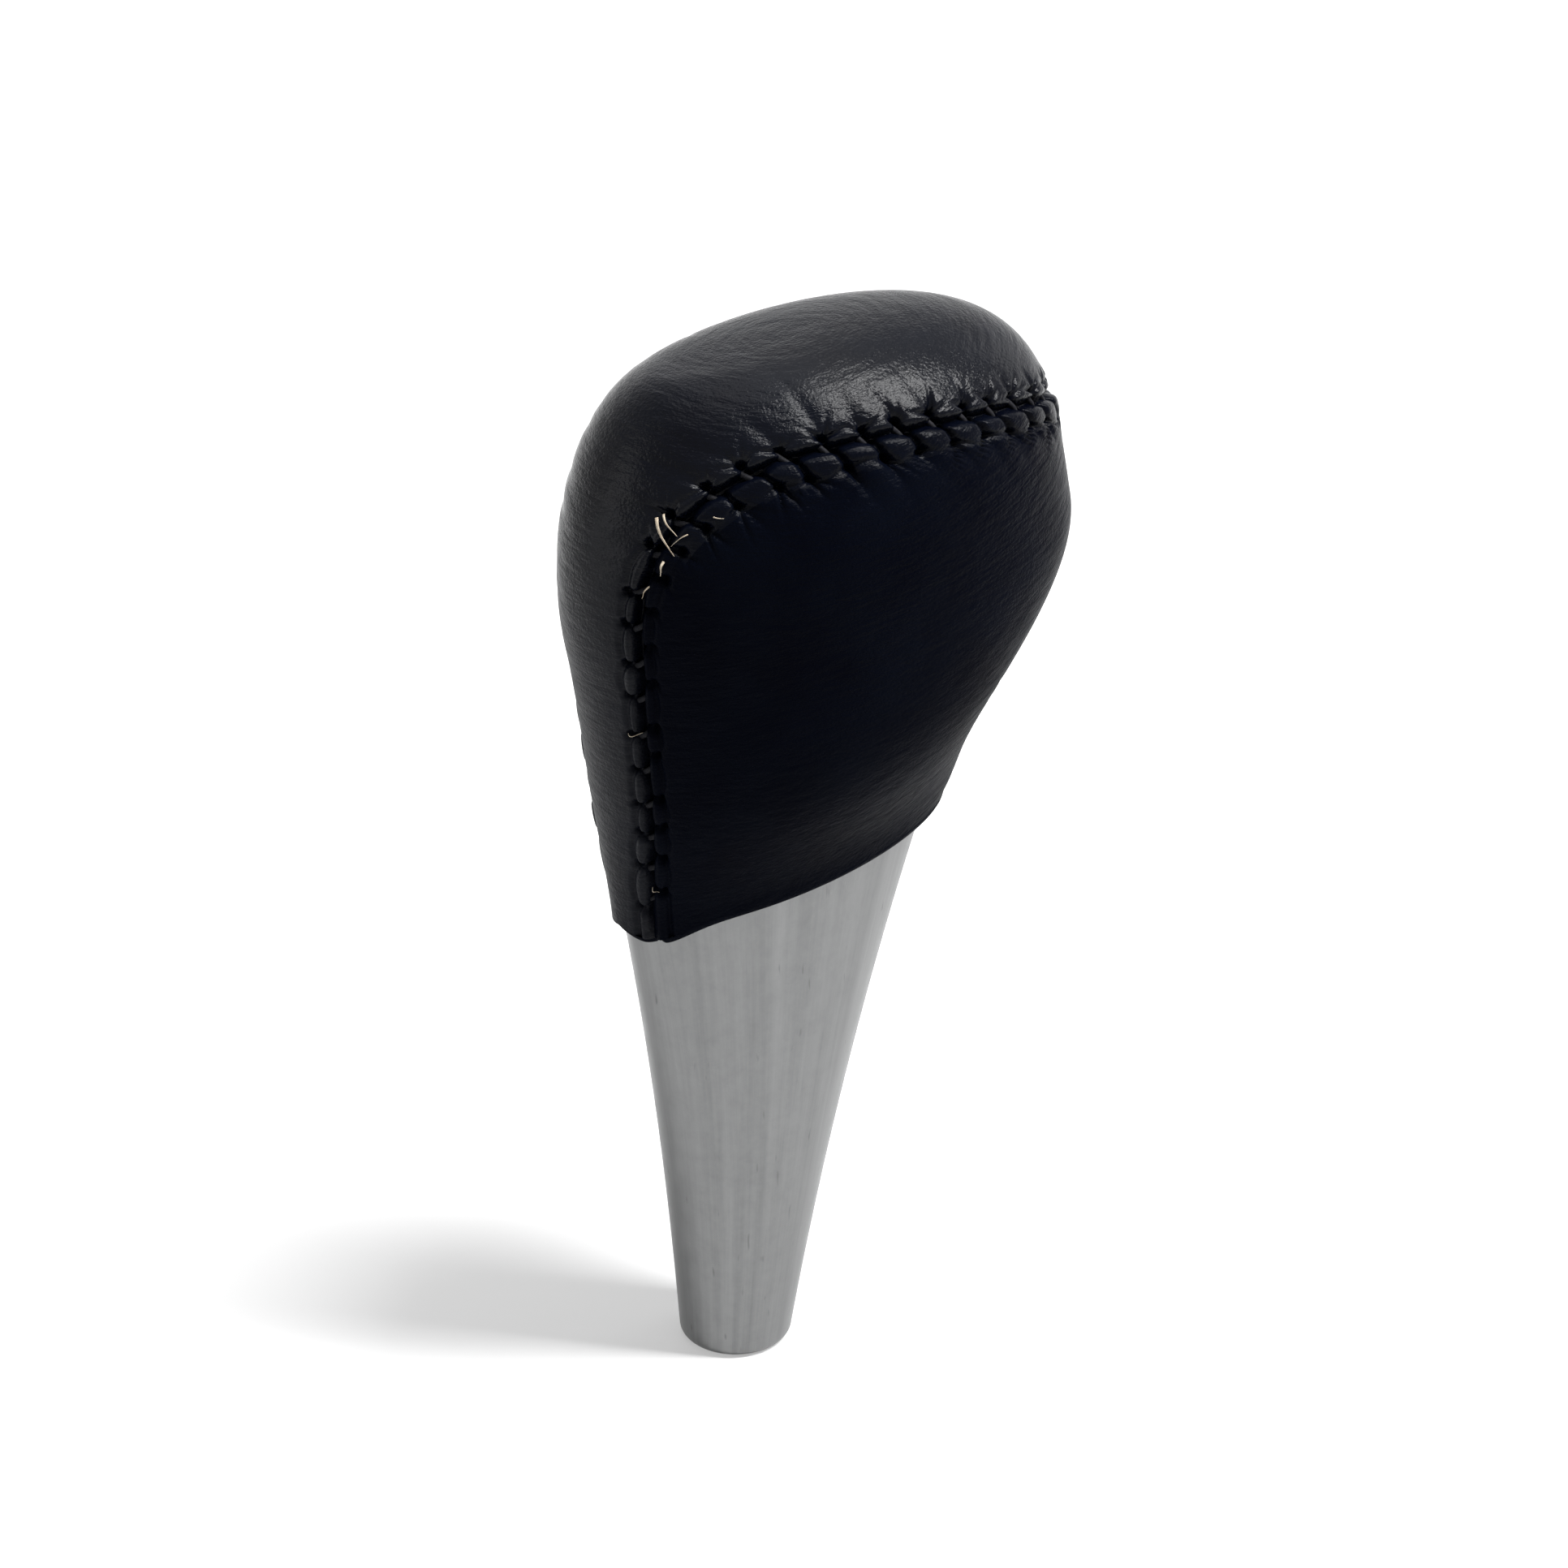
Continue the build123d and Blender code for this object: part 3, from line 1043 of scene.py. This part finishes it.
@dataclass(frozen=True)
class FrayedFibres:
    """Pale fibres that stand out of the worn seam on the near side."""

    form: HeadForm
    seam: SeamPath
    fibres: tuple[Fibre, ...] = (
        Fibre(48.6, -2.2, 126.0, 4.2, 0.45, 0.20),
        Fibre(49.3, -1.9, 116.0, 2.6, 0.50, 0.14),
        Fibre(50.0, 1.5, 205.0, 2.4, 0.45, 0.08),
        Fibre(45.8, 1.1, 178.0, 1.7, 0.50, 0.18),
        Fibre(42.2, 0.7, 205.0, 1.5, 0.45, 0.10),
        Fibre(24.3, -1.7, 84.0, 2.1, 0.60, 0.07),
        Fibre(53.0, 1.6, 60.0, 1.2, 0.45, 0.09),
        Fibre(5.2, 0.4, 120.0, 0.9, 0.50, 0.08),
    )
    look_ahead: float = 0.3
    seam_samples: int = 1200
    curl: float = 0.25
    taper: float = 0.75
    root_depth: float = 0.35
    arch_start: float = 0.1
    arch_end: float = 0.8
    sides: int = 6
    steps: int = 9

    def rings(self, fibre: Fibre, line: Array) -> list[Array]:
        """Lay the rings of points along one fibre.

        Args:
            fibre: The fibre.
            line: The seam's points.

        Returns:
            The rings from its root to its tip, on the head's axes.
        """
        here = along_line(line, fibre.place)
        forward = units(along_line(line, fibre.place + self.look_ahead) - here)
        outward = self.form.normals(here)
        to_wrap = np.cross(forward, outward)
        way = forward * np.cos(np.radians(fibre.turn)) + to_wrap * np.sin(np.radians(fibre.turn))
        side = np.cross(outward, way)
        angles = np.linspace(0.0, 2 * np.pi, self.sides, endpoint=False)[:, None]
        circle = np.cos(angles) * side + np.sin(angles) * outward
        rings = []
        for share in np.linspace(0.0, 1.0, self.steps):
            bow = np.sin(np.pi * min(share + self.arch_start, self.arch_end))
            arch = -self.root_depth + (fibre.lift + self.root_depth) * bow
            level = here + to_wrap * fibre.aside + way * fibre.length * share
            middle = level + side * (self.curl * fibre.length * share**2) + outward * arch
            rings.append(middle + fibre.radius * (1.0 - self.taper * share) * circle)
        return rings

    def build(self, finish: Material) -> Object:
        """Sweep the fibres as thin tapering rods with closed ends.

        Args:
            finish: The fibres' finish.

        Returns:
            The fibres, as one piece.
        """
        line = self.seam.points(self.seam_samples)
        root = tuple(range(self.sides))
        tip = tuple((self.steps - 1) * self.sides + corner for corner in root)
        rod = [*grid_faces(self.steps, self.sides, closed=True), root[::-1], tip]
        points, faces = [], []
        for number, fibre in enumerate(self.fibres):
            base = number * self.steps * self.sides
            points += self.rings(fibre, line)
            faces += [tuple(base + corner for corner in face) for face in rod]
        return add_piece("frayed_fibres", self.form.to_row(np.concatenate(points)), faces, finish)


@dataclass(frozen=True)
class StemSleeve:
    """The aluminium stem, round at its mouth and long under the leather, with the lever's bore."""

    form: HeadForm
    mouth: float = 6.5
    mouth_round: float = 1.2
    mouth_bends: int = 8
    middle_front: float = 9.4
    middle_rear: float = 12.7
    middle_half_width: float = 9.0
    setback: float = 1.4
    bore: float = 4.4
    bore_depth: float = 20.0
    bore_bevel: float = 0.25
    tucked: float = 1.5
    brush_round: float = 10.0
    brush_stretch: float = 0.03
    around: int = 160
    rows: int = 90
    settling_rounds: int = 4

    def reaches(self, height: Array) -> tuple[Array, ...]:
        """Measure the stem's outline.

        Args:
            height: Heights above the mouth.

        Returns:
            The front reach, the rear reach and the half width at each height.
        """
        neck, tilt = self.form.neck_height, self.form.tilt
        front, rear, half = (
            values[0] - self.setback for values in (self.form.fronts, self.form.rears, self.form.half_widths)
        )
        tops = (neck - front * np.sin(tilt), neck + rear * np.sin(tilt), neck)
        middles = (self.middle_front, self.middle_rear, self.middle_half_width)
        ends = (front * np.cos(tilt), rear * np.cos(tilt), half)
        return tuple(
            np.polyval(np.polyfit((0.0, neck / 2, top), (self.mouth, middle, end), 2), height)
            for top, middle, end in zip(tops, middles, ends)
        )

    def ring(self, height: Array, inset: float) -> Array:
        """Lay one ring of points.

        Args:
            height: The height of each point of the ring.
            inset: How far the ring is drawn in.

        Returns:
            The ring's points, in millimetres in the row's frame.
        """
        turns = np.linspace(0.0, 2 * np.pi, self.around, endpoint=False)
        front, rear, half = (reach - inset for reach in self.reaches(height))
        x = (rear - front) / 2 + (rear + front) / 2 * np.cos(turns)
        return np.stack([x, half * np.sin(turns), height], axis=-1)

    def build(self, metal: Material) -> Object:
        """Build the sleeve from the end of its bore, round its mouth and up to the leather.

        Args:
            metal: The sleeve's finish.

        Returns:
            The sleeve.
        """
        turns = np.linspace(0.0, 2 * np.pi, self.around, endpoint=False)
        circle = np.stack([np.cos(turns), np.sin(turns), np.zeros(self.around)], axis=-1)
        lift = np.array([0.0, 0.0, 1.0])
        bore = circle * self.bore
        rings = [bore + lift * self.bore_depth, bore + lift * self.bore_bevel]
        rings.append(circle * (self.bore + self.bore_bevel))
        for bend in np.radians(np.linspace(0.0, 90.0, self.mouth_bends)):
            height = np.full(self.around, self.mouth_round * (1 - np.cos(bend)))
            rings.append(self.ring(height, self.mouth_round * (1 - np.sin(bend))))
        for share in np.linspace(0.0, 1.0, self.rows)[1:]:
            height = np.full(self.around, self.mouth_round)
            for _ in range(self.settling_rounds):
                along = self.ring(height, 0.0)[:, 0]
                top = self.form.neck_height + along * np.tan(self.form.tilt) + self.tucked
                height = self.mouth_round + (top - self.mouth_round) * share
            rings.append(self.ring(height, 0.0))
        points = np.stack(rings)
        faces = grid_faces(points.shape[0], self.around, closed=True)
        piece = add_piece("stem_sleeve_brushed", points * MM, faces, metal)
        lines = np.broadcast_to(circle * self.brush_round, points.shape).copy()
        lines[..., 2] = points[..., 2] * self.brush_stretch
        add_vectors(piece, GrainDirection.ALONG_STEM.value, lines * MM)
        return piece


def new_finish(name: str) -> tuple[Material, TreeNodes, Node]:
    """Start a finish.

    Args:
        name: The finish's name.

    Returns:
        Its material, its nodes and its shader.
    """
    material = bpy.data.materials.new(name)
    material.use_nodes = True
    tree = material.node_tree
    return material, TreeNodes(tree), tree.nodes["Principled BSDF"]


@dataclass(frozen=True)
class BlackLeather:
    """Fine-grained black leather, a little shiny, with stretched wrinkles.

    It is smooth above the smooth height and rough below the rough height, which are in metres. Each
    pattern has its scale, and each bump its strength and its depth in metres.
    """

    name: str
    specular: float
    smooth: Pair
    rough: Pair = (0.44, 0.54)
    dark: Colour = (0.0004, 0.0006, 0.0022)
    pale: Colour = (0.0012, 0.0018, 0.0042)
    smooth_height: float = 0.108
    rough_height: float = 0.085
    pebble_scale: float = 3000.0
    wobble_scale: float = 1200.0
    wobble: float = 0.0004
    fine_scale: float = 5700.0
    wrinkle_scale: float = 1100.0
    cloud_scale: float = 90.0
    pebble_bump: Pair = (0.5, 0.00008)
    fine_bump: Pair = (0.4, 0.00006)
    wrinkle_bump: Pair = (0.8, 0.00032)

    def material(self) -> Material:
        """Build the finish.

        Returns:
            Its material.
        """
        material, nodes, shader = new_finish(self.name)
        plain = nodes.plain()
        wobble = nodes.add("ShaderNodeTexNoise", "Color", {"Vector": plain, "Scale": self.wobble_scale})
        warp_inputs = {0: wobble, 1: (self.wobble,) * 3, 2: plain}
        warped = nodes.add("ShaderNodeVectorMath", "Vector", warp_inputs, operation="MULTIPLY_ADD")
        pebble_inputs = {"Vector": warped, "Scale": self.pebble_scale}
        pebbles = nodes.add("ShaderNodeTexVoronoi", "Distance", pebble_inputs, feature="SMOOTH_F1")
        stretched = nodes.laid(GrainDirection.ROUND_HEAD)
        wrinkles = nodes.noise(stretched, self.wrinkle_scale, detail=5.0, rough=0.62)
        fine = nodes.noise(plain, self.fine_scale, detail=3.0)
        cloud = nodes.noise(plain, self.cloud_scale, detail=3.0)
        normal = nodes.bump(pebbles, *self.pebble_bump)
        normal = nodes.bump(fine, *self.fine_bump, normal)
        normal = nodes.bump(wrinkles, *self.wrinkle_bump, normal)
        height = nodes.add("ShaderNodeSeparateXYZ", "Z", {"Vector": plain})
        worn = nodes.spread(height, 0.0, 1.0, self.rough_height, self.smooth_height)
        rough, smooth = nodes.spread(wrinkles, *self.rough), nodes.spread(wrinkles, *self.smooth)
        nodes.feed(shader, {
            "Normal": normal,
            "Base Color": nodes.clouded(cloud, self.dark, self.pale),
            "Roughness": nodes.add("ShaderNodeMix", "Result", {"Factor": worn, "A": rough, "B": smooth}),
            "Specular IOR Level": self.specular,
        })
        return material


@dataclass(frozen=True)
class WaxedThread:
    """Black waxed lacing thread with a twist."""

    name: str = "black_thread"
    dark: Colour = (0.006, 0.006, 0.008)
    light: Colour = (0.012, 0.012, 0.014)
    twist_scale: float = 3200.0
    twist_bump: Pair = (0.5, 0.0001)
    roughness: float = 0.6
    specular: float = 0.06

    def material(self) -> Material:
        """Build the finish.

        Returns:
            Its material.
        """
        material, nodes, shader = new_finish(self.name)
        twist = nodes.noise(nodes.plain(), self.twist_scale, detail=2.0)
        nodes.feed(shader, {
            "Base Color": nodes.clouded(twist, self.dark, self.light),
            "Normal": nodes.bump(twist, *self.twist_bump),
            "Roughness": self.roughness,
            "Specular IOR Level": self.specular,
        })
        return material


@dataclass(frozen=True)
class BrushedAluminium:
    """Satin aluminium brushed along the stem, with faint specks."""

    name: str = "brushed_aluminium"
    dark: Colour = (0.124, 0.126, 0.127)
    pale: Colour = (0.210, 0.213, 0.213)
    speck: Colour = (0.08, 0.08, 0.08)
    streak_scale: float = 420.0
    streak_share: float = 0.6
    streak_bump: Pair = (0.12, 0.0001)
    fine_scale: float = 4200.0
    fine_bump: Pair = (0.10, 0.00005)
    speck_scale: float = 1300.0
    speck_stretch: Triple = (1.0, 1.0, 0.2)
    speck_share: float = 0.55
    speck_start: float = 0.72
    speck_end: float = 0.8
    roughness: Pair = (0.36, 0.5)

    def material(self) -> Material:
        """Build the finish.

        Returns:
            Its material.
        """
        material, nodes, shader = new_finish(self.name)
        brushed = nodes.laid(GrainDirection.ALONG_STEM)
        streaks = nodes.noise(brushed, self.streak_scale, detail=6.0, rough=0.7)
        fine = nodes.noise(brushed, self.fine_scale, detail=2.0)
        cloud = nodes.noise(nodes.plain(), self.streak_scale, detail=6.0, rough=0.72)
        specks = nodes.noise(nodes.plain(self.speck_stretch), self.speck_scale, detail=1.0)
        streak_tone = nodes.spread(streaks, 0.0, self.streak_share)
        cloud_tone = nodes.spread(cloud, 0.0, 1.0 - self.streak_share)
        streaky = nodes.blend(nodes.math("ADD", streak_tone, cloud_tone), self.dark, self.pale)
        speckled = nodes.spread(specks, 0.0, self.speck_share, self.speck_start, self.speck_end)
        normal = nodes.bump(streaks, *self.streak_bump)
        nodes.feed(shader, {
            "Base Color": nodes.blend(speckled, streaky, self.speck),
            "Roughness": nodes.spread(cloud, *self.roughness),
            "Normal": nodes.bump(fine, *self.fine_bump, normal),
            "Metallic": 1.0,
        })
        return material


@dataclass(frozen=True)
class CloudedFinish:
    """A plain finish whose colour drifts between two tones."""

    name: str
    first: Colour
    second: Colour
    roughness: float
    metallic: float = 0.0
    cloud_scale: float = 300.0
    detail: float = 3.0

    def material(self) -> Material:
        """Build the finish.

        Returns:
            Its material.
        """
        material, nodes, shader = new_finish(self.name)
        cloud = nodes.noise(nodes.plain(), self.cloud_scale, self.detail)
        nodes.feed(shader, {
            "Base Color": nodes.clouded(cloud, self.first, self.second),
            "Metallic": self.metallic,
            "Roughness": self.roughness,
        })
        return material


@dataclass(frozen=True)
class SoftLight:
    """A soft rectangular light: its place, the point that it faces, its size in metres and its watts."""

    name: str
    place: Triple
    aim: Triple
    size: Pair
    power: float

    def add(self) -> None:
        """Hang the light."""
        light = bpy.data.lights.new(self.name, "AREA")
        light.shape = "RECTANGLE"
        light.size, light.size_y = self.size
        light.energy = self.power
        holder = bpy.data.objects.new(self.name, light)
        holder.location = self.place
        facing = Vector(self.aim) - Vector(self.place)
        holder.rotation_euler = facing.to_track_quat("-Z", "Y").to_euler()
        bpy.context.scene.collection.objects.link(holder)


@dataclass(frozen=True)
class Studio:
    """The camera, the soft lights, the white floor and the white room.

    The angles are in radians, and the lens and the sensor in millimetres.
    """

    target: Triple = (0.00606, 0.0, 0.06947)
    distance: float = 0.360
    azimuth: float = np.radians(-30.0)
    elevation: float = np.radians(24.0)
    roll: float = np.radians(0.50)
    lens: float = 74.388
    sensor: float = 36.0
    nearest_seen: float = 0.01
    ambient: float = 0.22
    floor_side: float = 3.0
    floor_tone: float = 0.62
    floor_roughness: float = 0.9
    floor_glow: Pair = (0.35, 0.95)
    glow_reach: Pair = (0.1, 1.0)
    lights: tuple[SoftLight, ...] = (
        SoftLight("overhead", (0.10, 0.10, 0.76), (0.01, 0.0, 0.11), (0.50, 0.50), 1.6),
        SoftLight("front_key", (0.25, -0.19, 0.63), (0.01, 0.0, 0.11), (0.16, 0.46), 11.0),
        SoftLight("left", (-0.70, 0.22, 0.22), (0.0, 0.0, 0.07), (0.3, 0.5), 1.2),
        SoftLight("right", (0.62, 0.12, 0.42), (0.02, 0.0, 0.09), (0.2, 0.4), 0.3),
    )

    def add_camera(self) -> None:
        """Place the camera as the photograph was taken."""
        level = np.cos(self.elevation)
        back = np.array([
            np.sin(self.azimuth) * level,
            -np.cos(self.azimuth) * level,
            np.sin(self.elevation),
        ])
        right = np.array([np.cos(self.azimuth), np.sin(self.azimuth), 0.0])
        up = np.cross(back, right)
        turned_right = right * np.cos(self.roll) + up * np.sin(self.roll)
        turned_up = up * np.cos(self.roll) - right * np.sin(self.roll)
        place = np.array(self.target) + self.distance * back
        camera = bpy.data.cameras.new("camera")
        camera.lens = self.lens
        camera.sensor_width = self.sensor
        camera.sensor_fit = "HORIZONTAL"
        camera.clip_start = self.nearest_seen
        holder = bpy.data.objects.new("camera", camera)
        axes = np.stack([turned_right, turned_up, back, place], axis=-1)
        holder.matrix_world = Matrix([*axes.tolist(), [0.0, 0.0, 0.0, 1.0]])
        bpy.context.scene.collection.objects.link(holder)
        bpy.context.scene.camera = holder

    def seen_white(self, nodes: TreeNodes) -> NodeSocket:
        """Tell what is seen straight, in a mirror or through glass.

        Args:
            nodes: The nodes to add to.

        Returns:
            A factor that is 1 where it is seen so.
        """
        path = nodes.tree.nodes.new("ShaderNodeLightPath").outputs
        mirrored_too = nodes.math("MAXIMUM", path["Is Camera Ray"], path["Is Glossy Ray"])
        return nodes.math("MAXIMUM", mirrored_too, path["Is Transmission Ray"])

    def add_room(self) -> None:
        """Make the white room around the object."""
        world = bpy.data.worlds.new("white_room")
        world.use_nodes = True
        bpy.context.scene.world = world
        nodes = TreeNodes(world.node_tree)
        strength = nodes.spread(self.seen_white(nodes), self.ambient, 1.0, 0.0, 1.0)
        background = world.node_tree.nodes["Background"]
        nodes.feed(background, {"Color": (1.0, 1.0, 1.0, 1.0), "Strength": strength})

    def add_floor(self) -> None:
        """Lay the white floor under the stem, bright where it is seen and dim in the stem's shadow."""
        side = self.floor_side
        mesh = bpy.data.meshes.new("floor")
        corners = [(-side, -side, 0.0), (side, -side, 0.0), (side, side, 0.0), (-side, side, 0.0)]
        mesh.from_pydata(corners, [], [(0, 1, 2, 3)])
        material, nodes, shader = new_finish("white_floor")
        apart = nodes.add("ShaderNodeVectorMath", "Value", {0: nodes.plain()}, operation="LENGTH")
        glow = nodes.spread(apart, *self.floor_glow, *self.glow_reach)
        nodes.feed(shader, {
            "Base Color": (self.floor_tone, self.floor_tone, self.floor_tone, 1.0),
            "Roughness": self.floor_roughness,
            "Specular IOR Level": 0.0,
            "Emission Color": (1.0, 1.0, 1.0, 1.0),
            "Emission Strength": nodes.math("MULTIPLY", self.seen_white(nodes), glow),
        })
        mesh.materials.append(material)
        floor = bpy.data.objects.new("floor", mesh)
        bpy.context.scene.collection.objects.link(floor)

    def build(self) -> None:
        """Set up the whole studio."""
        bpy.context.scene.view_settings.view_transform = "Standard"
        self.add_camera()
        self.add_room()
        self.add_floor()
        for light in self.lights:
            light.add()


def main() -> None:
    """Build the knob's pieces, dress them and set up the studio."""
    palm = BlackLeather("palm_leather", specular=0.080, smooth=(0.15, 0.21)).material()
    edge = BlackLeather("edge_leather", specular=0.036, smooth=(0.15, 0.21)).material()
    leather = BlackLeather("black_leather", specular=0.012, smooth=(0.22, 0.30)).material()
    thread = WaxedThread().material()
    metal = BrushedAluminium().material()
    tan, cream = (0.20, 0.15, 0.10), (0.46, 0.40, 0.31)
    fibre = CloudedFinish("pale_fibre", tan, cream, roughness=0.8, cloud_scale=900.0, detail=2.0).material()
    form = HeadForm()
    seam = SeamPath(form)
    lacing = Lacing()
    head = LeatherHead(form, seam, lacing, Droop())
    pieces = (
        (head.build_cap(palm), "leather_cap", "black_leather"),
        (head.build_wrap(leather, edge), "leather_wrap", "black_leather"),
        (head.build_hem(leather), None, "black_leather"),
        (LacedThread(form, seam, lacing).build(thread), "seam_thread", "black_thread"),
        (FrayedFibres(form, seam).build(fibre), None, "black_leather"),
        (StemSleeve(form).build(metal), "stem_sleeve", "brushed_aluminium"),
    )
    for piece, node, slot in pieces:
        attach(piece, "root")
        if node is not None:
            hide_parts(node)
        log.info("%s: %d faces", piece.name, len(piece.data.polygons))
    hidden = {
        "head_core": CloudedFinish(
            "core_plastic", (0.012, 0.012, 0.013), (0.02, 0.02, 0.021), roughness=0.6
        ),
        "threaded_bush": CloudedFinish(
            "bush_brass", (0.62, 0.45, 0.20), (0.72, 0.56, 0.28), roughness=0.35, metallic=1.0
        ),
    }
    for node, finish in hidden.items():
        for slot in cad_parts[node].material_slots:
            slot.material = finish.material()
    Studio().build()


if __name__ == "__main__":
    main()
